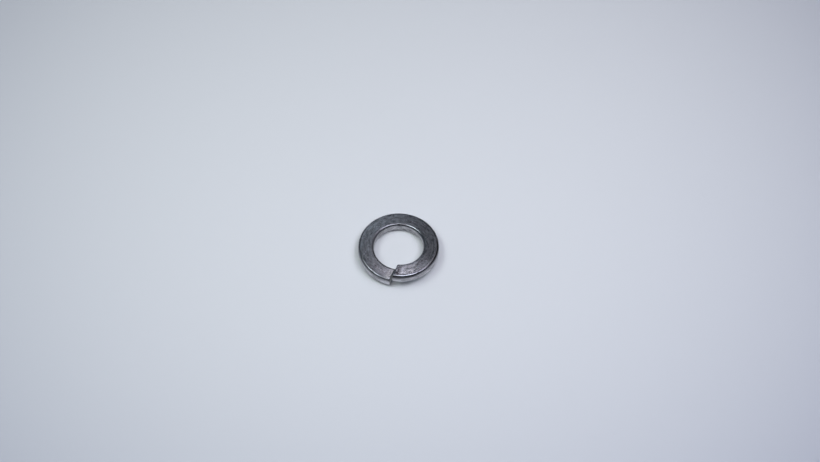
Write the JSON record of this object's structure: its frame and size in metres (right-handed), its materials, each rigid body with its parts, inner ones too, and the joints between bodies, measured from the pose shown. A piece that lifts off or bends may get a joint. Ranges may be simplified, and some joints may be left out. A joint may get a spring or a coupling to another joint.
{
  "type": "spring lock washer",
  "caption": "Helical spring lock washer: a ring of rounded flat steel wire, cut through and twisted so that its ends stand apart in height.",
  "frame": {"origin": "on the bore's axis, level with the lowest point of the low end", "axes": "+Z is the bore's axis, with the raised end up; the cut faces -Y and the raised end is on its +X side"},
  "size_m": [0.0166, 0.0166, 0.0041],
  "materials": {
    "washer": "dull dark spring steel with drawing lines around the faces and brighter worn edges"
  },
  "bodies": {
    "root": {"washer": "washer"}
  },
  "joints": []
}
